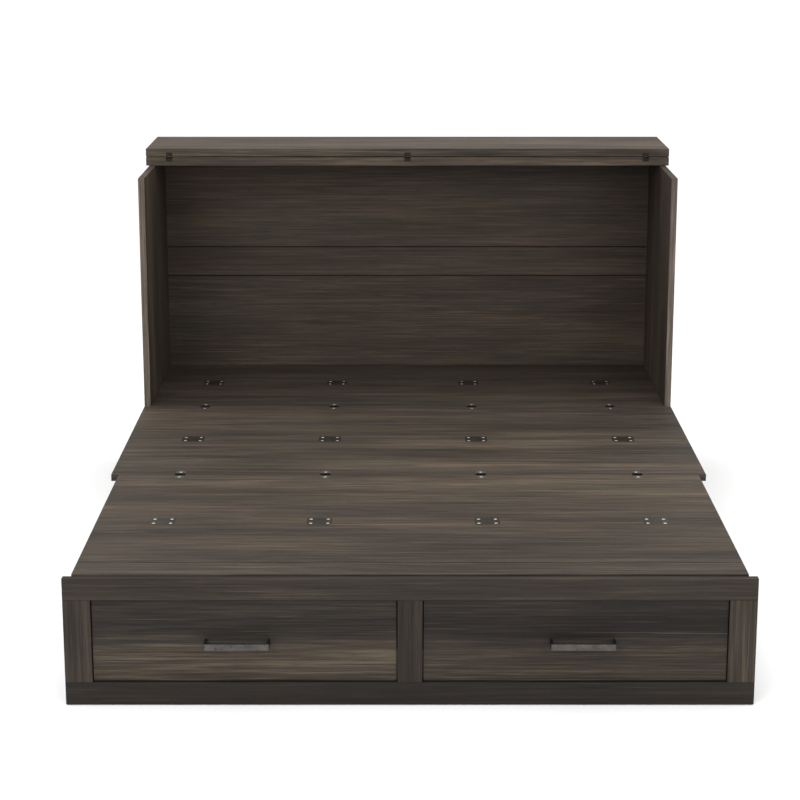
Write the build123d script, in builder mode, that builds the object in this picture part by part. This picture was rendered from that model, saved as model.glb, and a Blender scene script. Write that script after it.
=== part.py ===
from build123d import *
import os

# Cabinet bed shown open: +X is the bed's width, +Y runs from the footboard to the cabinet's back,
# and Z = 0 is the floor. The origin is below the middle of the open bed.

# Driving dimensions, in millimetres
BED_WIDTH = 1638.4
BOARD_T = 19.0
SIDE_T = 19.2
DECK_TOP = 323.5
SIDE_TOP = 1037.5
EASE = 0.8

PULL_REACH = 28.0
FOOTBOARD_T = 18.0
LEDGE_DEPTH = 80.5
TIP_GAP = 2.5
FOOT_DECK_LENGTH = 704.0
MIDDLE_DECK_LENGTH = 709.0
REAR_DECK_LENGTH = 539.0
BACK_T = 19.0
POST_T = 26.0

CAP_OVERHANG = 10.1
CAP_DEPTH = 301.0
FIXED_TOP_T = 27.0
LID_T = 25.3
LID_AIR = 1.0

AXIS_RISE = 1.0
SEAM_AIR = 1.0
JOINT_AIR = 0.4
COLUMNS = (-629.0, -229.0, 199.0, 629.0)
SIDE_AIR = 1.5
REAR_DECK_AIR = 0.5
SIDE_SETBACK = 5.0
FOOT_FRONT_BOARD = 305.0
MIDDLE_FRONT_BOARD = 348.0
REAR_FRONT_BOARD = 294.0
TIP_CUT = 12.0

FOOTBOARD_TOP = 318.7
TOP_RAIL_H = 54.4
BOTTOM_RAIL_H = 56.0
FLOOR_AIR = 2.0
END_STILE_W = 65.0
CENTRE_STILE_W = 59.2
FRONT_RECESS = 6.5
FRONT_AIR = 2.0

BASE_HALF = 770.0
BASE_SIDE_T = 15.0
BASE_DEPTH = 502.0
BASE_TOP = 274.0
BASE_BOTTOM = 48.0
BASE_SIDE_LOW = 6.0
BASE_AIR = 2.5
LEDGE_LOW = 304.0
BATTEN_DEPTH = 130.0

LEG_X = 784.0
LEG_T = 20.0
LEG_W = 28.0
LEG_SETBACK = 45.0
LEG_PIVOT_Z = 287.0
SHAFT_R = 4.0

WHEEL_R = 20.0
WHEEL_W = 18.0
WHEEL_AIR = 1.0
FRONT_CASTER_SETBACK = 60.0
REAR_CASTER_SETBACK = 55.0
RUN_FIT = 0.05

# Stations along Y, from the pulls' faces to the back
TOTAL_LENGTH = (PULL_REACH + FOOTBOARD_T + LEDGE_DEPTH + TIP_GAP + FOOT_DECK_LENGTH
                + MIDDLE_DECK_LENGTH + REAR_DECK_LENGTH + BACK_T + POST_T)
PULL_FACE = -TOTAL_LENGTH / 2
FOOTBOARD_Y = PULL_FACE + PULL_REACH
LEDGE_Y = FOOTBOARD_Y + FOOTBOARD_T
TIP_Y = LEDGE_Y + LEDGE_DEPTH + TIP_GAP
FOLD_Y = TIP_Y + FOOT_DECK_LENGTH
REAR_HINGE_Y = FOLD_Y + MIDDLE_DECK_LENGTH
BACK_Y = REAR_HINGE_Y + REAR_DECK_LENGTH
POST_Y = BACK_Y + BACK_T
REAR_Y = POST_Y + POST_T
SIDE_FRONT = REAR_HINGE_Y + SIDE_SETBACK

DECK_BOTTOM = DECK_TOP - BOARD_T
AXIS_Z = DECK_TOP + AXIS_RISE
HALF_WIDTH = BED_WIDTH / 2
INNER_HALF = HALF_WIDTH - SIDE_T
FOOT_DECK_WIDTH = 2 * (INNER_HALF - SIDE_AIR)
REAR_DECK_WIDTH = 2 * (INNER_HALF - REAR_DECK_AIR)
REAR_DECK_END = BACK_Y - SEAM_AIR

# Where the two boards of each deck panel meet
FOOT_JOINT_Y = TIP_Y + FOOT_FRONT_BOARD
MIDDLE_JOINT_Y = FOLD_Y + MIDDLE_FRONT_BOARD
REAR_JOINT_Y = REAR_HINGE_Y + REAR_FRONT_BOARD

# Joining plates, flap hinges and their screws
PLATE_X = 64.0
PLATE_Y = 56.0
PLATE_T = 2.5
PLATE_CORNER = 9.0
SCREW_X = 43.5
SCREW_Y = 32.0
FIT = 0.3
HINGE_LENGTH = 70.0
HINGE_WIDTH = 27.0
LEAF_T = 2.5
KNUCKLE_R = 3.2
NOTCH_R = 4.0
PIN_R = 1.4
MIDDLE_KNUCKLE = 8.0
KNUCKLE_AIR = 0.3
LEAF_SCREW_Y = 22.0
SCREW_HEAD_R = 4.3
SCREW_HEAD_H = 2.3
SCREW_SHANK_R = 2.0
SCREW_LENGTH = 12.0
SCREW_SLOT = 1.0
SCREW_AIR = 0.1

# Lid hinges on the front edge of the cap
LID_HINGE_X = (-755.0, 0.0, 755.0)
LID_LEAF_W = 20.0
LID_LEAF_H = 13.0
LID_LEAF_T = 2.0
LID_KNUCKLE_R = 3.0
LID_NOTCH_R = 3.6
LID_MIDDLE_KNUCKLE = 8.0
LID_AXIS_PROUD = 0.5
CAP_FRONT = REAR_Y - CAP_DEPTH
LID_AXIS_Y = CAP_FRONT - LID_AXIS_PROUD
CAP_SEAM_Z = SIDE_TOP + FIXED_TOP_T
LID_AXIS_Z = CAP_SEAM_Z + LID_AIR

# Drawers
DRAWER_OPEN_LOW = FLOOR_AIR + BOTTOM_RAIL_H
DRAWER_OPEN_HIGH = FOOTBOARD_TOP - TOP_RAIL_H
DRAWER_IN = CENTRE_STILE_W / 2
DRAWER_OUT = HALF_WIDTH - END_STILE_W
DRAWER_FRONT_T = 18.0
DRAWER_FRONT_Y = FOOTBOARD_Y + FRONT_RECESS
DRAWER_BOX_Y = DRAWER_FRONT_Y + DRAWER_FRONT_T
DRAWER_BOX_LENGTH = 430.0
DRAWER_SIDE_T = 12.0
DRAWER_SIDE_LOW = 72.0
DRAWER_SIDE_H = 150.0
DRAWER_BOX_IN = 43.0
DRAWER_BOX_OUT = 742.0
DRAWER_FLOOR_T = 6.0
DRAWER_FLOOR_LIFT = 6.0
DIVIDER_T = 18.0
PULL_X = 408.5
PULL_Z = 158.0
PULL_LENGTH = 154.0
PULL_HEIGHT = 15.5
PULL_STRIP = 5.0
PULL_BEND = 3.5


def save(piece, name):
    """Label a finished piece and write it as its own file."""
    piece.part.label = name
    export_step(piece.part, f"parts/{name}.step")


def block(x_span, y_span, z_span, ease=EASE):
    """A rectangular board between two limits on each axis, with its edges eased."""
    with BuildPart() as board:
        with BuildSketch(Plane.XY.offset(z_span[0])):
            with Locations((sum(x_span) / 2, sum(y_span) / 2)):
                Rectangle(x_span[1] - x_span[0], y_span[1] - y_span[0])
        extrude(amount=z_span[1] - z_span[0])
        if ease:
            chamfer(board.edges(), ease)
    return board


def blocks(spans):
    """Several separate plain blocks in one piece, from a list of their spans."""
    with BuildPart() as group:
        for x_span, y_span, z_span in spans:
            with BuildSketch(Plane.XY.offset(z_span[0])):
                with Locations((sum(x_span) / 2, sum(y_span) / 2)):
                    Rectangle(x_span[1] - x_span[0], y_span[1] - y_span[0])
            extrude(amount=z_span[1] - z_span[0])
    return group


def mirrored(side, near, far):
    """The X span from near to far on the left (-1) or right (+1) side."""
    return (near, far) if side > 0 else (-far, -near)


# ---------------------------------------------------------------- cabinet
BACK_FOOT = 20.0
RAIL_LOW = 631.0
RAIL_HIGH = 729.0
GROOVE_HALF = 2.1
GROOVE_DEPTH = 9.0
WALL_HOLES = ((-700.0, 1015.0), (700.0, 1015.0))
WALL_HOLE_R = 3.5


def side_panel(side):
    """One side of the cabinet, with the small latch hole near its top front corner."""
    latch_r = 3.0
    latch_depth = 9.0
    latch_y = SIDE_FRONT + 55.0
    latch_z = SIDE_TOP - 46.0
    inner_face = Plane(origin=(side * INNER_HALF, latch_y, latch_z), z_dir=(-side, 0, 0))
    with BuildPart() as panel:
        with BuildSketch(Plane.YZ.offset(side * INNER_HALF)):
            with Locations(((SIDE_FRONT + REAR_Y) / 2, SIDE_TOP / 2)):
                Rectangle(REAR_Y - SIDE_FRONT, SIDE_TOP)
        extrude(amount=side * SIDE_T)
        chamfer(panel.faces().sort_by(Axis.Y)[0].edges(), EASE)
        with Locations(inner_face):
            Hole(latch_r, depth=latch_depth)
    return panel


def cap_board(low, thickness, hinge_side):
    """The fixed top or the lid: a thick board with pockets for the lid hinges on its front edge.

    hinge_side is -1 where the hinge leaves run down from the seam and +1 where they run up."""
    half = HALF_WIDTH + CAP_OVERHANG
    cap_ease = 1.2
    leaf_mid = LID_AXIS_Z + hinge_side * (LID_LEAF_H / 2 + LID_AIR)
    with BuildPart() as cap:
        with BuildSketch(Plane.XY.offset(low)):
            with Locations((0, CAP_FRONT + CAP_DEPTH / 2)):
                Rectangle(2 * half, CAP_DEPTH)
        extrude(amount=thickness)
        chamfer(cap.edges(), cap_ease)
        with BuildSketch(Plane.XZ.offset(-CAP_FRONT)):
            with Locations(*[(x, leaf_mid) for x in LID_HINGE_X]):
                Rectangle(LID_LEAF_W + FIT, LID_LEAF_H + FIT)
        extrude(amount=-LID_LEAF_T, mode=Mode.SUBTRACT)
        for x in LID_HINGE_X:
            with BuildSketch(Plane.YZ.offset(x - (LID_LEAF_W + FIT) / 2)):
                with Locations((LID_AXIS_Y, LID_AXIS_Z)):
                    Circle(LID_NOTCH_R)
            extrude(amount=LID_LEAF_W + FIT, mode=Mode.SUBTRACT)
    return cap


def back_board(low, high):
    """A horizontal board of the back, with half a groove along its top and bottom edges."""
    with BuildPart() as board:
        with BuildSketch(Plane.YZ.offset(-INNER_HALF)):
            with Locations(((BACK_Y + POST_Y) / 2, (low + high) / 2)):
                Rectangle(BACK_T, high - low)
            with Locations((BACK_Y + GROOVE_DEPTH / 2, low), (BACK_Y + GROOVE_DEPTH / 2, high)):
                Rectangle(GROOVE_DEPTH, 2 * GROOVE_HALF, mode=Mode.SUBTRACT)
        extrude(amount=2 * INNER_HALF)
        if low < WALL_HOLES[0][1] < high:
            with BuildSketch(Plane.XZ.offset(-REAR_Y)):
                with Locations(*WALL_HOLES):
                    Circle(WALL_HOLE_R)
            extrude(amount=BACK_T + POST_T, mode=Mode.SUBTRACT)
    return board


def rear_posts():
    """Three upright posts behind the back boards; the outer two take the wall fixings."""
    post_w = 60.0
    with BuildPart() as posts:
        with BuildSketch(Plane.XY.offset(BACK_FOOT)):
            with Locations(*[(x, (POST_Y + REAR_Y) / 2) for x in (WALL_HOLES[0][0], 0, WALL_HOLES[1][0])]):
                Rectangle(post_w, POST_T)
        extrude(amount=SIDE_TOP - BACK_FOOT)
        with BuildSketch(Plane.XZ.offset(-REAR_Y)):
            with Locations(*WALL_HOLES):
                Circle(WALL_HOLE_R)
        extrude(amount=BACK_T + POST_T, mode=Mode.SUBTRACT)
    return posts


def deck_supports():
    """Cleats along both cabinet sides and a cross beam, all under the rear deck."""
    cleat_w = 15.0
    beam_y = REAR_HINGE_Y + 81.0
    beam_depth = 40.0
    z_span = (BASE_TOP + BASE_AIR, DECK_BOTTOM)
    spans = [(mirrored(side, INNER_HALF - cleat_w, INNER_HALF), (beam_y, REAR_DECK_END), z_span)
             for side in (-1, 1)]
    beam_half = INNER_HALF - cleat_w - EASE
    spans.append(((-beam_half, beam_half), (beam_y, beam_y + beam_depth), z_span))
    return blocks(spans)


# ---------------------------------------------------------------- decks
def plate_screws(row):
    """Screw places of the four joining plates in one row."""
    return [(x + dx * SCREW_X / 2, row + dy * SCREW_Y / 2, DECK_TOP)
            for x in COLUMNS for dx in (-1, 1) for dy in (-1, 1)]


def leaf_screws(axis_y, side):
    """Screw places of the four hinge leaves on one side of a hinge line."""
    return [(x, axis_y + side * LEAF_SCREW_Y, DECK_TOP) for x in COLUMNS]


def deck_board(width, front, back, plate_row, screws, hinge_row=None, faux_fronts=False, tip_cut=0.0):
    """One board of a deck panel, with its fittings let into the top face.

    faux_fronts sinks two shallow panels into the underside, which is the closed chest's front.
    tip_cut slopes the front edge back under the board, so that the ledge can roll in below it."""
    front_margin = 58.0
    sunk = 3.0
    panel_x = (DRAWER_IN + DRAWER_OUT) / 2
    with BuildPart() as board:
        with BuildSketch(Plane.YZ.offset(-width / 2)):
            with BuildLine():
                Polyline((front, DECK_TOP), (back, DECK_TOP), (back, DECK_BOTTOM),
                         (front + tip_cut, DECK_BOTTOM), close=True)
            make_face()
        extrude(amount=width)
        chamfer(board.faces().sort_by(Axis.Z)[-1].edges(), EASE)
        with BuildSketch(Plane.XY.offset(DECK_TOP)):
            with Locations(*[(x, plate_row) for x in COLUMNS]):
                RectangleRounded(PLATE_X + FIT, PLATE_Y + FIT, PLATE_CORNER)
        extrude(amount=-PLATE_T, mode=Mode.SUBTRACT)
        if hinge_row is not None:
            with BuildSketch(Plane.XY.offset(DECK_TOP)):
                with Locations(*[(x, hinge_row) for x in COLUMNS]):
                    SlotOverall(HINGE_LENGTH + FIT, HINGE_WIDTH + FIT, rotation=90)
            extrude(amount=-LEAF_T, mode=Mode.SUBTRACT)
            for x in COLUMNS:
                with BuildSketch(Plane.YZ.offset(x - (HINGE_WIDTH + FIT) / 2)):
                    with Locations((hinge_row, AXIS_Z)):
                        Circle(NOTCH_R)
                extrude(amount=HINGE_WIDTH + FIT, mode=Mode.SUBTRACT)
        if faux_fronts:
            with BuildSketch(Plane.XY.offset(DECK_BOTTOM)):
                with Locations(*[(side * panel_x, (front + back) / 2) for side in (-1, 1)]):
                    Rectangle(DRAWER_OUT - DRAWER_IN, back - front - 2 * front_margin)
            extrude(amount=sunk, mode=Mode.SUBTRACT)
        inside = [place for place in screws if front < place[1] < back]
        with Locations(*inside):
            Hole(SCREW_SHANK_R + SCREW_AIR, depth=SCREW_LENGTH + SCREW_AIR)
    return board


def joining_plates(row):
    """Four flat plates that join the two boards of a deck panel."""
    with BuildPart() as plates:
        with BuildSketch(Plane.XY.offset(DECK_TOP - PLATE_T)):
            with Locations(*[(x, row) for x in COLUMNS]):
                RectangleRounded(PLATE_X, PLATE_Y, PLATE_CORNER)
        extrude(amount=PLATE_T)
        with Locations(*plate_screws(row)):
            CounterSinkHole(SCREW_SHANK_R + SCREW_AIR, SCREW_HEAD_R + SCREW_AIR, depth=PLATE_T)
    return plates


def wood_screws(places):
    """Countersunk screws with crossed slots, heads flush with the plates."""
    slot_share = 0.62
    heads = [(x, y, z - SCREW_AIR) for x, y, z in places]
    shanks = [(x, y, z - SCREW_AIR - SCREW_HEAD_H) for x, y, z in places]
    upright = (Align.CENTER, Align.CENTER, Align.MAX)
    slot_length = 2 * SCREW_HEAD_R * slot_share
    with BuildPart() as screws:
        with Locations(*heads):
            Cone(SCREW_SHANK_R, SCREW_HEAD_R, SCREW_HEAD_H, align=upright)
        with Locations(*shanks):
            Cylinder(SCREW_SHANK_R, SCREW_LENGTH - SCREW_HEAD_H - SCREW_AIR, align=upright)
        with Locations(*heads):
            Box(slot_length, SCREW_SLOT, SCREW_SLOT, align=upright, mode=Mode.SUBTRACT)
            Box(SCREW_SLOT, slot_length, SCREW_SLOT, align=upright, mode=Mode.SUBTRACT)
    return screws


def knuckle_spans(width, middle_w, has_middle):
    """X spans, about a hinge's centre, of the knuckles that one leaf carries.

    A leaf has either the middle knuckle or the two outer ones."""
    if has_middle:
        return [(-middle_w / 2, middle_w / 2)]
    gap = middle_w / 2 + KNUCKLE_AIR
    return [(-width / 2, -gap), (gap, width / 2)]


def flap_leaves(axis_y, side, has_middle):
    """Four round-ended hinge leaves on one side of a hinge line, flush with the deck."""
    leaf_low = DECK_TOP - LEAF_T
    with BuildPart() as leaves:
        with BuildSketch(Plane.XY.offset(leaf_low)):
            with Locations(*[(x, axis_y) for x in COLUMNS]):
                SlotOverall(HINGE_LENGTH, HINGE_WIDTH, rotation=90)
            with Locations(*[(x, axis_y - side * HINGE_LENGTH / 2) for x in COLUMNS]):
                Rectangle(HINGE_WIDTH, HINGE_LENGTH, mode=Mode.SUBTRACT)
        extrude(amount=LEAF_T)
        for x in COLUMNS:
            with BuildSketch(Plane.YZ.offset(x - HINGE_WIDTH / 2)):
                with Locations((axis_y, AXIS_Z)):
                    Circle(NOTCH_R)
            extrude(amount=HINGE_WIDTH, mode=Mode.SUBTRACT)
            for start, end in knuckle_spans(HINGE_WIDTH, MIDDLE_KNUCKLE, has_middle):
                with BuildSketch(Plane.YZ.offset(x + start)):
                    with Locations((axis_y, AXIS_Z)):
                        Circle(KNUCKLE_R)
                    with Locations((axis_y + side * (NOTCH_R + EASE) / 2, leaf_low + LEAF_T / 2)):
                        Rectangle(NOTCH_R + EASE, LEAF_T)
                extrude(amount=end - start)
            with BuildSketch(Plane.YZ.offset(x - HINGE_WIDTH / 2)):
                with Locations((axis_y, AXIS_Z)):
                    Circle(PIN_R + RUN_FIT)
            extrude(amount=HINGE_WIDTH, mode=Mode.SUBTRACT)
        with Locations(*leaf_screws(axis_y, side)):
            CounterSinkHole(SCREW_SHANK_R + SCREW_AIR, SCREW_HEAD_R + SCREW_AIR, depth=LEAF_T)
    return leaves


def hinge_pins(axis_y, axis_z, columns, width, radius):
    """The pins of one row of hinges."""
    end_air = 0.5
    with BuildPart() as pins:
        for x in columns:
            with BuildSketch(Plane.YZ.offset(x - width / 2 + end_air)):
                with Locations((axis_y, axis_z)):
                    Circle(radius)
            extrude(amount=width - 2 * end_air)
    return pins


def lid_leaves(hinge_side, has_middle):
    """Three small leaves on the cap's front edge, below (-1) or above (+1) the seam."""
    leaf_mid = LID_AXIS_Z + hinge_side * (LID_LEAF_H / 2 + LID_AIR)
    web_mid = LID_AXIS_Z + hinge_side * LID_NOTCH_R / 2
    with BuildPart() as leaves:
        with BuildSketch(Plane.XZ.offset(-CAP_FRONT)):
            with Locations(*[(x, leaf_mid) for x in LID_HINGE_X]):
                Rectangle(LID_LEAF_W, LID_LEAF_H)
        extrude(amount=-LID_LEAF_T)
        for x in LID_HINGE_X:
            with BuildSketch(Plane.YZ.offset(x - LID_LEAF_W / 2)):
                with Locations((LID_AXIS_Y, LID_AXIS_Z)):
                    Circle(LID_NOTCH_R)
            extrude(amount=LID_LEAF_W, mode=Mode.SUBTRACT)
            for start, end in knuckle_spans(LID_LEAF_W, LID_MIDDLE_KNUCKLE, has_middle):
                with BuildSketch(Plane.YZ.offset(x + start)):
                    with Locations((LID_AXIS_Y, LID_AXIS_Z)):
                        Circle(LID_KNUCKLE_R)
                    with Locations((CAP_FRONT + LID_LEAF_T / 2, web_mid)):
                        Rectangle(LID_LEAF_T, LID_NOTCH_R + EASE)
                extrude(amount=end - start)
            with BuildSketch(Plane.YZ.offset(x - LID_LEAF_W / 2)):
                with Locations((LID_AXIS_Y, LID_AXIS_Z)):
                    Circle(PIN_R + RUN_FIT)
            extrude(amount=LID_LEAF_W, mode=Mode.SUBTRACT)
    return leaves


# ---------------------------------------------------------------- folding legs
LEG_Y = FOLD_Y - LEG_SETBACK
BRACKET_GAUGE = 2.0
BRACKET_DROP = DECK_BOTTOM - LEG_PIVOT_Z
BRACKET_W = 40.0


def leg_brackets():
    """Steel brackets under the foot deck: a plate and two ears round the top of each leg."""
    ear_r = 12.0
    with BuildPart() as brackets:
        for side in (-1, 1):
            x = side * LEG_X
            with BuildSketch(Plane.XY.offset(DECK_BOTTOM - BRACKET_GAUGE)):
                with Locations((x, LEG_Y)):
                    Rectangle(LEG_T + 2 * BRACKET_GAUGE + 2 * KNUCKLE_AIR, BRACKET_W)
            extrude(amount=BRACKET_GAUGE)
            for ear in (-1, 1):
                inner = x + ear * (LEG_T / 2 + KNUCKLE_AIR)
                with BuildSketch(Plane.YZ.offset(inner)):
                    with Locations((LEG_Y, LEG_PIVOT_Z)):
                        Circle(ear_r)
                    with Locations((LEG_Y, LEG_PIVOT_Z + BRACKET_DROP / 2)):
                        Rectangle(2 * ear_r, BRACKET_DROP)
                    with Locations((LEG_Y, LEG_PIVOT_Z)):
                        Circle(SHAFT_R + RUN_FIT, mode=Mode.SUBTRACT)
                extrude(amount=ear * BRACKET_GAUGE)
    return brackets


def support_legs():
    """Two square legs that stand under the fold line, rounded at the top to turn in their brackets."""
    foot_ease = 2.0
    with BuildPart() as legs:
        for side in (-1, 1):
            with BuildSketch(Plane.YZ.offset(side * LEG_X - LEG_T / 2)):
                with Locations((LEG_Y, LEG_PIVOT_Z / 2)):
                    Rectangle(LEG_W, LEG_PIVOT_Z)
                with Locations((LEG_Y, LEG_PIVOT_Z)):
                    Circle(LEG_W / 2)
                    Circle(SHAFT_R, mode=Mode.SUBTRACT)
            extrude(amount=LEG_T)
        chamfer(legs.faces().sort_by(Axis.Z)[:2].edges().filter_by(Axis.X), foot_ease)
    return legs


def leg_shaft():
    """The steel rod that joins both legs, so that they fold together."""
    half = LEG_X + LEG_T / 2 + KNUCKLE_AIR + BRACKET_GAUGE
    with BuildPart() as shaft:
        with BuildSketch(Plane.YZ.offset(-half)):
            with Locations((LEG_Y, LEG_PIVOT_Z)):
                Circle(SHAFT_R)
        extrude(amount=2 * half)
        chamfer(shaft.edges(), EASE)
    return shaft


# ---------------------------------------------------------------- rolling base
BASE_INNER = BASE_HALF - BASE_SIDE_T
BASE_BACK_Y = LEDGE_Y + BASE_DEPTH
BASE_FLOOR_T = 9.0
CASTER_X = 690.0
CASTER_Y = (LEDGE_Y + FRONT_CASTER_SETBACK, BASE_BACK_Y - REAR_CASTER_SETBACK)
CASTER_PLATE_T = 3.0
EAR_T = 2.5
EAR_GAP = WHEEL_W + WHEEL_AIR


def drawer_runners():
    """L-shaped rails beside and under the drawer sides, two for each drawer."""
    runner_top = 130.0
    runner_air = 2.0
    runner_end = DRAWER_BOX_Y + DRAWER_BOX_LENGTH
    runner_low = BASE_BOTTOM + BASE_FLOOR_T
    shelf_air = 1.0
    shelf_top = DRAWER_SIDE_LOW - shelf_air
    shelf_w = DRAWER_SIDE_T + 2 * runner_air
    inner_face = DRAWER_BOX_IN - runner_air
    outer_face = DRAWER_BOX_OUT + runner_air
    runners = []
    for side in (-1, 1):
        runners.append((mirrored(side, DIVIDER_T / 2, inner_face),
                        mirrored(side, inner_face, inner_face + shelf_w)))
        runners.append((mirrored(side, outer_face, BASE_INNER),
                        mirrored(side, outer_face - shelf_w, outer_face)))
    with BuildPart() as group:
        for upright, shelf in runners:
            for x_span, z_high in ((upright, runner_top), (shelf, shelf_top)):
                with BuildSketch(Plane.XY.offset(runner_low)):
                    with Locations((sum(x_span) / 2, (DRAWER_BOX_Y + runner_end) / 2)):
                        Rectangle(x_span[1] - x_span[0], DRAWER_BOX_LENGTH)
                extrude(amount=z_high - runner_low)
    return group


def caster_forks():
    """Four caster frames: a plate under the base and two ears that carry the axle."""
    ear_r = 9.0
    plate_x = 54.0
    plate_y = 44.0
    plate_low = BASE_BOTTOM - CASTER_PLATE_T
    with BuildPart() as forks:
        for x in (-CASTER_X, CASTER_X):
            for y in CASTER_Y:
                with BuildSketch(Plane.XY.offset(plate_low)):
                    with Locations((x, y)):
                        Rectangle(plate_x, plate_y)
                extrude(amount=CASTER_PLATE_T)
                for ear in (-1, 1):
                    with BuildSketch(Plane.YZ.offset(x + ear * EAR_GAP / 2)):
                        with Locations((y, WHEEL_R)):
                            Circle(ear_r)
                        with Locations((y, (WHEEL_R + plate_low) / 2)):
                            Rectangle(2 * ear_r, plate_low - WHEEL_R)
                        with Locations((y, WHEEL_R)):
                            Circle(SHAFT_R + RUN_FIT, mode=Mode.SUBTRACT)
                    extrude(amount=ear * EAR_T)
    return forks


def caster_axles():
    """Four short axles, one through each caster."""
    half = EAR_GAP / 2 + EAR_T + EASE
    with BuildPart() as axles:
        for x in (-CASTER_X, CASTER_X):
            for y in CASTER_Y:
                with BuildSketch(Plane.YZ.offset(x - half)):
                    with Locations((y, WHEEL_R)):
                        Circle(SHAFT_R)
                extrude(amount=2 * half)
    return axles


def caster_wheels(y):
    """The pair of caster wheels on one axle line."""
    with BuildPart() as wheels:
        for x in (-CASTER_X, CASTER_X):
            with BuildSketch(Plane.YZ.offset(x - WHEEL_W / 2)):
                with Locations((y, WHEEL_R)):
                    Circle(WHEEL_R)
                    Circle(SHAFT_R + RUN_FIT, mode=Mode.SUBTRACT)
            extrude(amount=WHEEL_W)
        treads = wheels.edges().filter_by(GeomType.CIRCLE).filter_by(lambda edge: edge.radius > SHAFT_R * 2)
        fillet(treads, 2 * EASE)
    return wheels


# ---------------------------------------------------------------- drawers
def drawer_front(side):
    """The inset front of one drawer."""
    return block(mirrored(side, DRAWER_IN + FRONT_AIR, DRAWER_OUT - FRONT_AIR),
                 (DRAWER_FRONT_Y, DRAWER_BOX_Y),
                 (DRAWER_OPEN_LOW + FRONT_AIR, DRAWER_OPEN_HIGH - FRONT_AIR))


def drawer_sides(side):
    """The two sides of one drawer box."""
    z_span = (DRAWER_SIDE_LOW, DRAWER_SIDE_LOW + DRAWER_SIDE_H)
    y_span = (DRAWER_BOX_Y, DRAWER_BOX_Y + DRAWER_BOX_LENGTH)
    return blocks([(mirrored(side, DRAWER_BOX_IN, DRAWER_BOX_IN + DRAWER_SIDE_T), y_span, z_span),
                   (mirrored(side, DRAWER_BOX_OUT - DRAWER_SIDE_T, DRAWER_BOX_OUT), y_span, z_span)])


def drawer_inner_span(side):
    """The X span between the sides of one drawer box."""
    return mirrored(side, DRAWER_BOX_IN + DRAWER_SIDE_T, DRAWER_BOX_OUT - DRAWER_SIDE_T)


def drawer_back(side):
    """The back of one drawer box."""
    end = DRAWER_BOX_Y + DRAWER_BOX_LENGTH
    return block(drawer_inner_span(side), (end - DRAWER_SIDE_T, end),
                 (DRAWER_SIDE_LOW, DRAWER_SIDE_LOW + DRAWER_SIDE_H), ease=0)


def drawer_bottom(side):
    """The thin floor of one drawer box."""
    low = DRAWER_SIDE_LOW + DRAWER_FLOOR_LIFT
    end = DRAWER_BOX_Y + DRAWER_BOX_LENGTH - DRAWER_SIDE_T
    return block(drawer_inner_span(side), (DRAWER_BOX_Y, end), (low, low + DRAWER_FLOOR_T), ease=0)


def drawer_pull(side):
    """A pull bent from flat bar: a straight grip with both ends turned back to the drawer front."""
    x = side * PULL_X
    half = PULL_LENGTH / 2
    reach = DRAWER_FRONT_Y - PULL_FACE
    with BuildPart() as pull:
        with BuildSketch(Plane.XY.offset(PULL_Z - PULL_HEIGHT / 2)):
            with Locations((x, PULL_FACE + reach / 2)):
                Rectangle(PULL_LENGTH, reach)
            with Locations((x, PULL_FACE + PULL_STRIP + reach / 2)):
                Rectangle(2 * (half - PULL_STRIP), reach, mode=Mode.SUBTRACT)
        extrude(amount=PULL_HEIGHT)
        corners = pull.edges().filter_by(Axis.Z).group_by(Axis.Y)[0]
        fillet(corners, PULL_BEND)
    return pull


# ---------------------------------------------------------------- build and write
os.makedirs("parts", exist_ok=True)

save(side_panel(-1), "left_side_panel")
save(side_panel(1), "right_side_panel")
save(cap_board(SIDE_TOP, FIXED_TOP_T, -1), "fixed_top")
save(back_board(RAIL_HIGH, SIDE_TOP), "back_upper_board")
save(back_board(RAIL_LOW, RAIL_HIGH), "back_middle_rail")
save(back_board(BACK_FOOT, RAIL_LOW), "back_lower_board")
save(rear_posts(), "rear_posts")
save(deck_supports(), "deck_supports")

REAR_SCREWS = plate_screws(REAR_JOINT_Y) + leaf_screws(REAR_HINGE_Y, 1)
MIDDLE_SCREWS = (plate_screws(MIDDLE_JOINT_Y) + leaf_screws(REAR_HINGE_Y, -1)
                 + leaf_screws(FOLD_Y, 1))
FOOT_SCREWS = plate_screws(FOOT_JOINT_Y) + leaf_screws(FOLD_Y, -1)

save(deck_board(REAR_DECK_WIDTH, REAR_HINGE_Y + SEAM_AIR, REAR_JOINT_Y - JOINT_AIR / 2,
                REAR_JOINT_Y, REAR_SCREWS, hinge_row=REAR_HINGE_Y), "rear_deck_front_board")
save(deck_board(REAR_DECK_WIDTH, REAR_JOINT_Y + JOINT_AIR / 2, REAR_DECK_END,
                REAR_JOINT_Y, REAR_SCREWS), "rear_deck_back_board")
save(deck_board(BED_WIDTH, MIDDLE_JOINT_Y + JOINT_AIR / 2, REAR_HINGE_Y - SEAM_AIR,
                MIDDLE_JOINT_Y, MIDDLE_SCREWS, hinge_row=REAR_HINGE_Y, faux_fronts=True),
     "middle_deck_back_board")
save(deck_board(BED_WIDTH, FOLD_Y + SEAM_AIR, MIDDLE_JOINT_Y - JOINT_AIR / 2,
                MIDDLE_JOINT_Y, MIDDLE_SCREWS, hinge_row=FOLD_Y, faux_fronts=True),
     "middle_deck_front_board")
save(deck_board(FOOT_DECK_WIDTH, FOOT_JOINT_Y + JOINT_AIR / 2, FOLD_Y - SEAM_AIR,
                FOOT_JOINT_Y, FOOT_SCREWS, hinge_row=FOLD_Y), "foot_deck_back_board")
save(deck_board(FOOT_DECK_WIDTH, TIP_Y, FOOT_JOINT_Y - JOINT_AIR / 2,
                FOOT_JOINT_Y, FOOT_SCREWS, tip_cut=TIP_CUT), "foot_deck_front_board")

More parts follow.
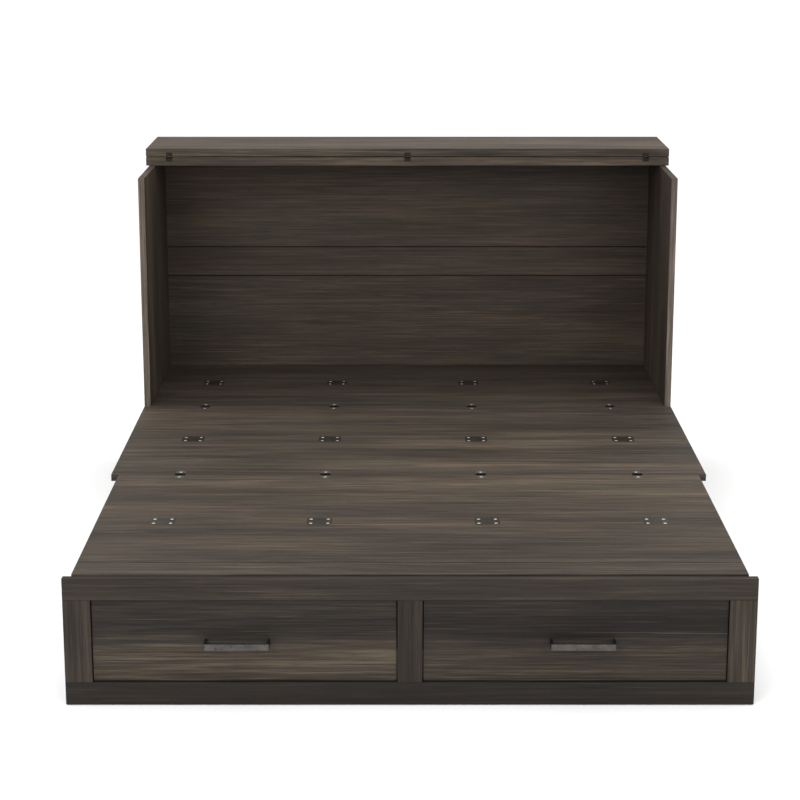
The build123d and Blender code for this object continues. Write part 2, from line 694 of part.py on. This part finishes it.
save(joining_plates(REAR_JOINT_Y), "rear_deck_plates")
save(joining_plates(MIDDLE_JOINT_Y), "middle_deck_plates")
save(joining_plates(FOOT_JOINT_Y), "foot_deck_plates")
save(wood_screws(REAR_SCREWS), "rear_deck_screws")
save(wood_screws(MIDDLE_SCREWS), "middle_deck_screws")
save(wood_screws(FOOT_SCREWS), "foot_deck_screws")
save(flap_leaves(REAR_HINGE_Y, 1, False), "rear_deck_hinge_leaves")
save(flap_leaves(REAR_HINGE_Y, -1, True), "middle_deck_back_leaves")
save(flap_leaves(FOLD_Y, 1, False), "middle_deck_front_leaves")
save(flap_leaves(FOLD_Y, -1, True), "foot_deck_hinge_leaves")
save(hinge_pins(REAR_HINGE_Y, AXIS_Z, COLUMNS, HINGE_WIDTH, PIN_R), "rear_hinge_pins")
save(hinge_pins(FOLD_Y, AXIS_Z, COLUMNS, HINGE_WIDTH, PIN_R), "fold_hinge_pins")

save(cap_board(CAP_SEAM_Z + 2 * LID_AIR, LID_T, 1), "lid_panel")
save(lid_leaves(-1, False), "lid_hinge_fixed_leaves")
save(lid_leaves(1, True), "lid_hinge_moving_leaves")
save(hinge_pins(LID_AXIS_Y, LID_AXIS_Z, LID_HINGE_X, LID_LEAF_W, PIN_R), "lid_hinge_pins")

save(leg_brackets(), "leg_brackets")
save(support_legs(), "support_legs")
save(leg_shaft(), "leg_shaft")

FOOTBOARD_SPAN = (FOOTBOARD_Y, LEDGE_Y)
FULL_SPAN = (-HALF_WIDTH, HALF_WIDTH)
save(block(FULL_SPAN, FOOTBOARD_SPAN, (DRAWER_OPEN_HIGH, FOOTBOARD_TOP)), "footboard_top_rail")
save(block(FULL_SPAN, FOOTBOARD_SPAN, (FLOOR_AIR, DRAWER_OPEN_LOW)), "footboard_bottom_rail")
for SIDE, SIDE_NAME in ((-1, "left"), (1, "right")):
    save(block(mirrored(SIDE, DRAWER_OUT, HALF_WIDTH), FOOTBOARD_SPAN,
               (DRAWER_OPEN_LOW, DRAWER_OPEN_HIGH)), f"footboard_{SIDE_NAME}_stile")
    save(block(mirrored(SIDE, BASE_INNER, BASE_HALF), (LEDGE_Y, BASE_BACK_Y),
               (BASE_SIDE_LOW, BASE_TOP)), f"base_{SIDE_NAME}_side")
    save(drawer_front(SIDE), f"{SIDE_NAME}_drawer_front")
    save(drawer_sides(SIDE), f"{SIDE_NAME}_drawer_sides")
    save(drawer_back(SIDE), f"{SIDE_NAME}_drawer_back")
    save(drawer_bottom(SIDE), f"{SIDE_NAME}_drawer_bottom")
    save(drawer_pull(SIDE), f"{SIDE_NAME}_drawer_pull")
save(block((-DRAWER_IN, DRAWER_IN), FOOTBOARD_SPAN, (DRAWER_OPEN_LOW, DRAWER_OPEN_HIGH)),
     "footboard_centre_stile")

save(block((-FOOT_DECK_WIDTH / 2, FOOT_DECK_WIDTH / 2), (LEDGE_Y, LEDGE_Y + LEDGE_DEPTH),
           (LEDGE_LOW, DECK_TOP)), "ledge_board")
save(block((-BASE_HALF, BASE_HALF), (LEDGE_Y, LEDGE_Y + BATTEN_DEPTH), (BASE_TOP, LEDGE_LOW), ease=0),
     "ledge_batten")
BASE_FLOOR_TOP = BASE_BOTTOM + BASE_FLOOR_T
save(block((-BASE_INNER, BASE_INNER), (LEDGE_Y, BASE_BACK_Y), (BASE_BOTTOM, BASE_FLOOR_TOP), ease=0),
     "base_bottom")
save(block((-BASE_INNER, BASE_INNER), (BASE_BACK_Y - BASE_SIDE_T, BASE_BACK_Y),
           (BASE_FLOOR_TOP, BASE_TOP), ease=0), "base_back")
save(block((-DIVIDER_T / 2, DIVIDER_T / 2), (LEDGE_Y, BASE_BACK_Y - BASE_SIDE_T),
           (BASE_FLOOR_TOP, BASE_TOP), ease=0), "base_divider")
save(drawer_runners(), "drawer_runners")
save(caster_forks(), "caster_forks")
save(caster_axles(), "caster_axles")
save(caster_wheels(CASTER_Y[0]), "front_wheels")
save(caster_wheels(CASTER_Y[1]), "rear_wheels")
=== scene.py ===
import math

import bmesh
import bpy
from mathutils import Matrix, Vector


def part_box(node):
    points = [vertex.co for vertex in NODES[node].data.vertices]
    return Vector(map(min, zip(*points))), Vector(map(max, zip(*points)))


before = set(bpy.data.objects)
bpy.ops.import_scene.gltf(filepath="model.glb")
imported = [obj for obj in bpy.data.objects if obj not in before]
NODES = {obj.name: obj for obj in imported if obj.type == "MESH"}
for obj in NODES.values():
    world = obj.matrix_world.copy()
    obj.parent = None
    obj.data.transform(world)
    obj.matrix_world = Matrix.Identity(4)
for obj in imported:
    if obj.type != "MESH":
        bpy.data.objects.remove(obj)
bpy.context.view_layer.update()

X, Y, Z = range(3)


# ------------------------------------------------------------ node helpers
MIX_INPUTS = (6, 7)
MIX_RESULT = 2
NOISE_MIDDLE = 0.5
SEED_RANGE = 977


def seeded_place(name, spread):
    """Where a name's figure starts in its noise: always the same place for the same name."""
    seed = sum((i + 1) * ord(letter) for i, letter in enumerate(name)) % SEED_RANGE
    return tuple(seed * step for step in spread)


def along(axis, grain, across):
    """Noise scales that run along one axis: grain cells per metre there, across on the others."""
    return tuple(grain if i == axis else across for i in range(3))


class Tree:
    """A short way to write a material's node tree."""

    def __init__(self, name):
        self.material = bpy.data.materials.new(name)
        self.material.use_nodes = True
        self.tree = self.material.node_tree
        self.tree.nodes.clear()
        self.coords = self.add("ShaderNodeTexCoord").outputs["Object"]

    def add(self, kind, **settings):
        node = self.tree.nodes.new(kind)
        for key, value in settings.items():
            setattr(node, key, value)
        return node

    def plug(self, socket, value):
        """Links value to the socket, or sets it there if it is a constant."""
        if isinstance(value, bpy.types.NodeSocket):
            self.tree.links.new(value, socket)
        else:
            socket.default_value = value

    def place_on(self, axis):
        """The place along one axis, in metres."""
        split = self.add("ShaderNodeSeparateXYZ")
        self.plug(split.inputs[0], self.coords)
        return split.outputs[axis]

    def noise(self, scale, place=(0, 0, 0), detail=4.0, rough=0.55, distort=0.0):
        """Noise with its own scale on each axis, in cells per metre."""
        mapping = self.add("ShaderNodeMapping")
        self.plug(mapping.inputs["Vector"], self.coords)
        mapping.inputs["Scale"].default_value = scale
        mapping.inputs["Location"].default_value = place
        noise = self.add("ShaderNodeTexNoise")
        self.plug(noise.inputs["Vector"], mapping.outputs[0])
        noise.inputs["Scale"].default_value = 1.0
        noise.inputs["Detail"].default_value = detail
        noise.inputs["Roughness"].default_value = rough
        noise.inputs["Distortion"].default_value = distort
        return noise.outputs["Fac"]

    def math(self, operation, a, b=0.0, c=0.0):
        node = self.add("ShaderNodeMath", operation=operation)
        for socket, value in zip(node.inputs, (a, b, c)):
            self.plug(socket, value)
        return node.outputs[0]

    def sway(self, base, noise, amount):
        """Moves base up and down by amount times the noise's distance from its middle."""
        return self.math("MULTIPLY_ADD", self.math("SUBTRACT", noise, NOISE_MIDDLE), amount, base)

    def span(self, value, low, high, to_low=0.0, to_high=1.0):
        """Moves value from one range to another, kept inside it."""
        node = self.add("ShaderNodeMapRange", interpolation_type="SMOOTHSTEP")
        for key, number in zip(("Value", "From Min", "From Max", "To Min", "To Max"),
                               (value, low, high, to_low, to_high)):
            self.plug(node.inputs[key], number)
        return node.outputs[0]

    def over(self, colour, mask, share, other, blend="MIX"):
        """Lays another colour over the masked places, as strongly as share says."""
        node = self.add("ShaderNodeMix", data_type="RGBA", blend_type=blend)
        self.plug(node.inputs["Factor"], self.math("MULTIPLY", mask, share))
        for place, value in zip(MIX_INPUTS, (colour, other)):
            is_socket = isinstance(value, bpy.types.NodeSocket)
            self.plug(node.inputs[place], value if is_socket else (*value, 1.0))
        return node.outputs[MIX_RESULT]

    def ramp(self, factor, stops):
        node = self.add("ShaderNodeValToRGB")
        elements = node.color_ramp.elements
        while len(elements) < len(stops):
            elements.new(0.5)
        for element, (place, colour) in zip(elements, stops):
            element.position = place
            element.color = (*colour, 1.0)
        self.plug(node.inputs[0], factor)
        return node.outputs[0]

    def bump(self, height, distance, strength):
        node = self.add("ShaderNodeBump")
        node.inputs["Strength"].default_value = strength
        node.inputs["Distance"].default_value = distance
        self.plug(node.inputs["Height"], height)
        return node.outputs[0]

    def finish(self, colour, roughness, normal, **constants):
        shader = self.add("ShaderNodeBsdfPrincipled")
        self.plug(shader.inputs["Base Color"], colour)
        self.plug(shader.inputs["Roughness"], roughness)
        self.plug(shader.inputs["Normal"], normal)
        for key, value in constants.items():
            shader.inputs[key.replace("_", " ")].default_value = value
        output = self.add("ShaderNodeOutputMaterial")
        self.tree.links.new(shader.outputs[0], output.inputs[0])
        return self.material


# ------------------------------------------------------------ wood
WOOD_SPREAD = (1.37, 2.11, 0.73)
DARK = (0.0165, 0.0118, 0.0092)
MID = (0.0430, 0.0320, 0.0248)
WARM = (0.0800, 0.0585, 0.0400)
PALE = (0.1600, 0.1260, 0.0900)
TONE_STOPS = (0.14, 0.45, 0.68, 0.95)
FIGURE_MIDDLE = 0.46
COOL_TINT = (0.84, 0.98, 1.02)
OLIVE_TINT = (0.92, 1.0, 0.82)
STRIP_TINT = (2.6, 2.75, 2.95)
DRIFT_WOBBLE = 0.12
WOOD_SPECULAR = 0.22


def wood(name, axis, tone=1.0, light=0.0, contrast=1.0, banding=None, drift=None):
    """Grey-brown weathered wood with its grain along one axis.

    tone scales the colour, light moves it towards the pale streaks, and contrast is the strength of the
    streaks. banding = (axis, limit) gives the surface below that limit the paler tone of an edge strip.
    drift = (axis, start, end, amount) moves the figure by amount from one side of the board to the
    other, as sapwood does."""
    t = Tree(name)
    place = seeded_place(name, WOOD_SPREAD)
    back = place[::-1]
    bands = t.noise(along(axis, 0.7, 7.5), place, detail=3.0, rough=0.5, distort=0.2)
    clouds = t.noise(along(axis, 2.4, 21.0), back, detail=4.0, rough=0.6, distort=0.3)
    streaks = t.noise(along(axis, 2.3, 115.0), place, detail=5.0, rough=0.62, distort=0.1)
    threads = t.noise(along(axis, 4.5, 240.0), back, detail=4.0, rough=0.65)
    fibres = t.noise(along(axis, 11.0, 620.0), back, detail=3.0, rough=0.6)
    figure = FIGURE_MIDDLE + light
    for layer, share in ((bands, 0.85), (clouds, 0.4), (streaks, 0.85), (threads, 0.95), (fibres, 0.5)):
        figure = t.sway(figure, layer, share * contrast)
    if drift is not None:
        drift_axis, start, end, amount = drift
        wobble = t.sway(t.place_on(drift_axis), clouds, DRIFT_WOBBLE)
        figure = t.math("ADD", figure, t.span(wobble, start, end, 0.0, amount))
    scaled = [tuple(channel * tone for channel in colour) for colour in (DARK, MID, WARM, PALE)]
    colour = t.ramp(figure, list(zip(TONE_STOPS, scaled)))
    # cool weathering comes and goes along the boards, and a faint olive cast in other places
    weather = t.span(t.noise(along(axis, 1.3, 5.2), place, detail=2.0), 0.44, 0.66)
    colour = t.over(colour, weather, 0.45, COOL_TINT, blend="MULTIPLY")
    olive = t.span(t.noise(along(axis, 2.0, 9.0), back, detail=2.0), 0.52, 0.68)
    colour = t.over(colour, olive, 0.4, OLIVE_TINT, blend="MULTIPLY")
    # short dark pores, most of them in the paler streaks
    pores = t.span(t.noise(along(axis, 26.0, 640.0), place, detail=2.0), 0.62, 0.7)
    pores = t.math("MULTIPLY", pores, t.span(streaks, 0.42, 0.6, 0.15, 1.0))
    colour = t.over(colour, pores, 0.6, DARK)
    # thin pale lines along the grain: painted highlights
    lines = t.span(t.noise(along(axis, 2.6, 210.0), back, detail=3.0, rough=0.6), 0.63, 0.71)
    colour = t.over(colour, lines, 0.5 * contrast, scaled[-1])
    if banding is not None:
        side_axis, limit = banding
        strip = t.math("LESS_THAN", t.place_on(side_axis), limit)
        colour = t.over(colour, strip, 1.0, STRIP_TINT, blend="MULTIPLY")
    scuffs = t.span(t.noise((31.0, 33.0, 29.0), place, detail=5.0, rough=0.7), 0.6, 0.75)
    roughness = t.math("MULTIPLY_ADD", streaks, 0.2, 0.52)
    roughness = t.math("MULTIPLY_ADD", scuffs, 0.12, roughness)
    height = t.math("MULTIPLY_ADD", fibres, 0.35, threads)
    height = t.math("SUBTRACT", height, t.math("MULTIPLY", pores, 0.5))
    normal = t.bump(height, distance=0.0008, strength=0.5)
    return t.finish(colour, roughness, normal, Specular_IOR_Level=WOOD_SPECULAR)


PLY_SPREAD = (0.91, 1.83, 0.57)
PLY_TONES = ((0.3, (0.21, 0.165, 0.115)), (0.52, (0.33, 0.27, 0.195)), (0.8, (0.43, 0.37, 0.285)))
PLY_MARK = (0.17, 0.135, 0.1)


def ply(name, axis):
    """Plain pale drawer board with a fine straight grain."""
    t = Tree(name)
    place = seeded_place(name, PLY_SPREAD)
    bands = t.noise(along(axis, 1.1, 11.0), place, detail=4.0, distort=0.5)
    fibres = t.noise(along(axis, 7.0, 300.0), place, detail=4.0)
    colour = t.ramp(t.math("MULTIPLY_ADD", fibres, 0.45, t.math("MULTIPLY", bands, 0.6)), PLY_TONES)
    marks = t.span(t.noise((14.0, 15.0, 13.0), place, detail=6.0, rough=0.7), 0.6, 0.8)
    colour = t.over(colour, marks, 0.3, PLY_MARK)
    roughness = t.math("MULTIPLY_ADD", fibres, 0.25, 0.42)
    return t.finish(colour, roughness, t.bump(fibres, distance=0.0005, strength=0.4))


# ------------------------------------------------------------ metal and coatings
METAL_SPREAD = (0.31, 0.47, 0.83)
METAL_GRIME = (0.012, 0.011, 0.01)
FINE_TEXTURE = (900.0, 900.0, 900.0)


def metal(name, low, high, rough=(0.3, 0.5), brushed=None, wear=None, adjust=None):
    """Metal with cloudy patina, a fine texture or brushing along an axis, and rubbed spots.

    adjust takes the tree and the colour so far, and returns the colour to use."""
    t = Tree(name)
    place = seeded_place(name, METAL_SPREAD)
    patina = t.noise((55.0, 60.0, 58.0), place, detail=5.0, rough=0.65)
    grain = t.noise(FINE_TEXTURE if brushed is None else along(brushed, 12.0, 1500.0), place, detail=3.0)
    value = t.math("MULTIPLY_ADD", grain, 0.45, t.math("MULTIPLY", patina, 0.6))
    colour = t.ramp(value, ((0.33, low), (0.72, high)))
    dirt = t.span(t.noise((130.0, 120.0, 125.0), place, detail=4.0), 0.56, 0.72)
    colour = t.over(colour, dirt, 0.5, METAL_GRIME)
    if wear is not None:
        rubbed = t.span(t.noise((210.0, 230.0, 190.0), place, detail=6.0, rough=0.75), 0.57, 0.66)
        colour = t.over(colour, rubbed, 0.6, wear)
    if adjust is not None:
        colour = adjust(t, colour)
    smooth, dull = rough
    roughness = t.span(value, 0.35, 0.7, dull, smooth)
    roughness = t.math("MULTIPLY_ADD", dirt, 0.2, roughness)
    return t.finish(colour, roughness, t.bump(value, distance=0.0002, strength=0.5), Metallic=1.0)


HINGE_LINES = [sum(corner[Y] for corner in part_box(pins)) / 2
               for pins in ("rear_hinge_pins", "fold_hinge_pins")]
# painted shade tone laid over the flap hinge barrels
BARREL_SHADE_TONE = (0.018, 0.016, 0.014)


def painted_barrel_shade(t, colour):
    """Painted shade on the flap hinges round their barrels: darkens them there to dull the barrels'
    highlight.
    """
    distances = [t.math("ABSOLUTE", t.math("SUBTRACT", t.place_on(Y), line)) for line in HINGE_LINES]
    near = t.span(t.math("MINIMUM", *distances), 0.006, 0.012, 1.0, 0.0)
    return t.over(colour, near, 1.0, BARREL_SHADE_TONE)


COATING_SPREAD = (0.63, 0.39, 0.21)


def coated(name, colour, worn, fine, rough):
    """Powder coat, rubber or other matt coating with a pebbled surface."""
    t = Tree(name)
    place = seeded_place(name, COATING_SPREAD)
    pebbles = t.noise((fine, fine, fine), place, detail=2.0)
    cloud = t.noise((24.0, 26.0, 22.0), place, detail=5.0, rough=0.7)
    mixed = t.over(colour, t.span(cloud, 0.42, 0.7), 0.7, worn)
    roughness = t.math("MULTIPLY_ADD", cloud, 0.3, rough)
    return t.finish(mixed, roughness, t.bump(pebbles, distance=0.0003, strength=0.6))


# ------------------------------------------------------------ which node gets which material
def paint(node, material):
    """Gives a CAD node one material."""
    NODES[node].data.materials.clear()
    NODES[node].data.materials.append(material)


EDGE_STRIP_T = 0.0009
SIDE_BANDING = (Y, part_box("left_side_panel")[0][Y] + EDGE_STRIP_T)
DRAWER_DRIFT = (Z, 0.195, 0.15, 0.36)
# grain axis, tone, light, contrast, banding and drift of each wooden node
WOOD = {
    "left_side_panel": (Z, 1.05, 0.02, 0.9, SIDE_BANDING),
    "right_side_panel": (Z, 1.05, 0.02, 0.9, SIDE_BANDING),
    "fixed_top": (X, 1.15, 0.03),
    "lid_panel": (X, 1.03, 0.05),
    "back_upper_board": (X, 1.22, 0.02, 0.6),
    "back_middle_rail": (X, 1.2, 0.01, 0.55),
    "back_lower_board": (X, 1.1, 0.01, 0.65),
    "rear_posts": (Z,),
    "deck_supports": (Y,),
    # the rear deck boards get lower tone and light as painted shade: the deck is darker towards the back,
    # inside the cabinet
    "rear_deck_front_board": (X, 0.85, -0.01, 0.85),
    "rear_deck_back_board": (X, 0.75, -0.03, 0.7),
    "middle_deck_back_board": (X,),
    "middle_deck_front_board": (X, 1.0, 0.02),
    "foot_deck_back_board": (X, 1.0, 0.03),
    "foot_deck_front_board": (X, 0.96),
    "footboard_top_rail": (X, 0.64, -0.04, 0.8),
    "footboard_bottom_rail": (X, 0.36, -0.02, 0.8),
    "footboard_left_stile": (Z, 0.72, -0.02, 0.9),
    "footboard_right_stile": (Z, 0.72, -0.02, 0.9),
    "footboard_centre_stile": (Z, 0.53, -0.03, 0.8),
    "ledge_board": (X, 0.95, -0.02),
    "ledge_batten": (X, 0.9),
    "base_left_side": (Y, 0.95),
    "base_right_side": (Y, 0.95),
    "base_back": (X, 0.95),
    "base_bottom": (X, 0.9),
    "base_divider": (Y, 0.95),
    "support_legs": (Z,),
    "left_drawer_front": (X, 0.62, -0.18, 1.1, None, DRAWER_DRIFT),
    "right_drawer_front": (X, 0.48, -0.18, 1.1, None, DRAWER_DRIFT),
}
for node_name, looks in WOOD.items():
    paint(node_name, wood("wood_" + node_name, *looks))

for side in ("left", "right"):
    paint(side + "_drawer_sides", ply("ply_sides_" + side, Y))
    paint(side + "_drawer_back", ply("ply_back_" + side, X))
    paint(side + "_drawer_bottom", ply("ply_bottom_" + side, X))
paint("drawer_runners", ply("ply_runners", Y))

PULL_METAL = metal("gunmetal_pull", (0.05, 0.046, 0.043), (0.12, 0.11, 0.102), rough=(0.3, 0.46), brushed=X)
PLATE_METAL = metal("dark_plate", (0.062, 0.054, 0.047), (0.15, 0.132, 0.114), rough=(0.32, 0.52),
                    wear=(0.2, 0.18, 0.16))
# the flap hinges get painted shade round their barrels, which dulls the barrels' highlight
HINGE_METAL = metal("bronze_hinge", (0.13, 0.12, 0.108), (0.33, 0.31, 0.28), rough=(0.36, 0.55),
                    adjust=painted_barrel_shade)
LID_HINGE_METAL = metal("dark_lid_hinge", (0.012, 0.011, 0.010), (0.05, 0.045, 0.04),
                        wear=(0.16, 0.15, 0.13))
SCREW_METAL = metal("zinc_screw", (0.62, 0.59, 0.55), (0.95, 0.93, 0.89), rough=(0.42, 0.6))
BLACK_COAT = coated("black_coat", (0.014, 0.014, 0.015), (0.035, 0.035, 0.036), fine=1400.0, rough=0.4)
RUBBER = coated("grey_rubber", (0.02, 0.02, 0.02), (0.06, 0.057, 0.052), fine=700.0, rough=0.6)

# the first ending that fits a node's name decides its material
FITTINGS = (
    ("_plates", PLATE_METAL),
    ("lid_hinge_fixed_leaves", LID_HINGE_METAL),
    ("lid_hinge_moving_leaves", LID_HINGE_METAL),
    ("_leaves", HINGE_METAL),
    ("_screws", SCREW_METAL),
    ("_pins", PLATE_METAL),
    ("_pull", PULL_METAL),
    ("_wheels", RUBBER),
    ("leg_brackets", BLACK_COAT),
    ("leg_shaft", BLACK_COAT),
    ("caster_forks", BLACK_COAT),
    ("caster_axles", BLACK_COAT),
)
for node_name in NODES:
    for ending, material in FITTINGS:
        if node_name.endswith(ending):
            paint(node_name, material)
            break

# ------------------------------------------------------------ stage, light and camera
FLOOR_RADIUS = 4.0
FLOOR_SIDES = 96
FLOOR_TONES = ((0.3, (0.96, 0.96, 0.96)), (0.7, (0.97, 0.97, 0.97)))
FLOOR_ROUGHNESS = 0.85
WORLD_SEEN = 1.1
WORLD_CAST = 0.66


def floor_material():
    """Plain pale floor with the faintest unevenness."""
    t = Tree("studio_floor")
    tone = t.noise((1.1, 1.2, 1.0), detail=3.0)
    normal = t.bump(tone, distance=0.0002, strength=0.1)
    return t.finish(t.ramp(tone, FLOOR_TONES), FLOOR_ROUGHNESS, normal, Specular_IOR_Level=0.1)


def make_floor():
    """A round floor under the bed."""
    mesh = bpy.data.meshes.new("studio_floor")
    bm = bmesh.new()
    bmesh.ops.create_circle(bm, cap_ends=True, segments=FLOOR_SIDES, radius=FLOOR_RADIUS)
    bm.to_mesh(mesh)
    bm.free()
    floor = bpy.data.objects.new("studio_floor", mesh)
    bpy.context.scene.collection.objects.link(floor)
    mesh.materials.append(floor_material())


def area_light(name, place, aim, size, power):
    """A soft square light that looks at a point."""
    data = bpy.data.lights.new(name, "AREA")
    data.size = size
    data.energy = power
    lamp = bpy.data.objects.new(name, data)
    lamp.location = place
    lamp.rotation_mode = "QUATERNION"
    lamp.rotation_quaternion = (Vector(aim) - Vector(place)).to_track_quat("-Z", "Y")
    bpy.context.scene.collection.objects.link(lamp)


def make_world():
    """A white surround: one strength where the camera sees it, another for the light it casts."""
    world = bpy.data.worlds.new("studio")
    world.use_nodes = True
    tree = world.node_tree
    tree.nodes.clear()
    mixer = tree.nodes.new("ShaderNodeMixShader")
    tree.links.new(tree.nodes.new("ShaderNodeLightPath").outputs["Is Camera Ray"], mixer.inputs[0])
    for socket, strength in ((mixer.inputs[1], WORLD_CAST), (mixer.inputs[2], WORLD_SEEN)):
        background = tree.nodes.new("ShaderNodeBackground")
        background.inputs["Color"].default_value = (1.0, 1.0, 1.0, 1.0)
        background.inputs["Strength"].default_value = strength
        tree.links.new(background.outputs[0], socket)
    tree.links.new(mixer.outputs[0], tree.nodes.new("ShaderNodeOutputWorld").inputs[0])
    bpy.context.scene.world = world


make_floor()
make_world()
bpy.context.scene.view_settings.view_transform = "Standard"
area_light("overhead", place=(0.0, -0.6, 5.2), aim=(0.0, -0.3, 0.0), size=7.5, power=330.0)
area_light("key", place=(-2.6, -5.0, 3.4), aim=(0.0, 0.0, 0.5), size=2.6, power=95.0)
area_light("fill", place=(3.2, -4.6, 2.4), aim=(0.0, 0.3, 0.5), size=2.6, power=45.0)

CAMERA_PLACE = (-0.02368, -5.31695, 1.90778)
CAMERA_PITCH = 12.72
CAMERA_LENS_MM = 86.8077
CAMERA_SHIFT_Y = -0.1
camera_data = bpy.data.cameras.new("camera")
camera_data.lens = CAMERA_LENS_MM
camera_data.shift_y = CAMERA_SHIFT_Y
camera = bpy.data.objects.new("camera", camera_data)
camera.location = CAMERA_PLACE
camera.rotation_euler = (math.radians(90.0 - CAMERA_PITCH), 0.0, 0.0)
bpy.context.scene.collection.objects.link(camera)
bpy.context.scene.camera = camera
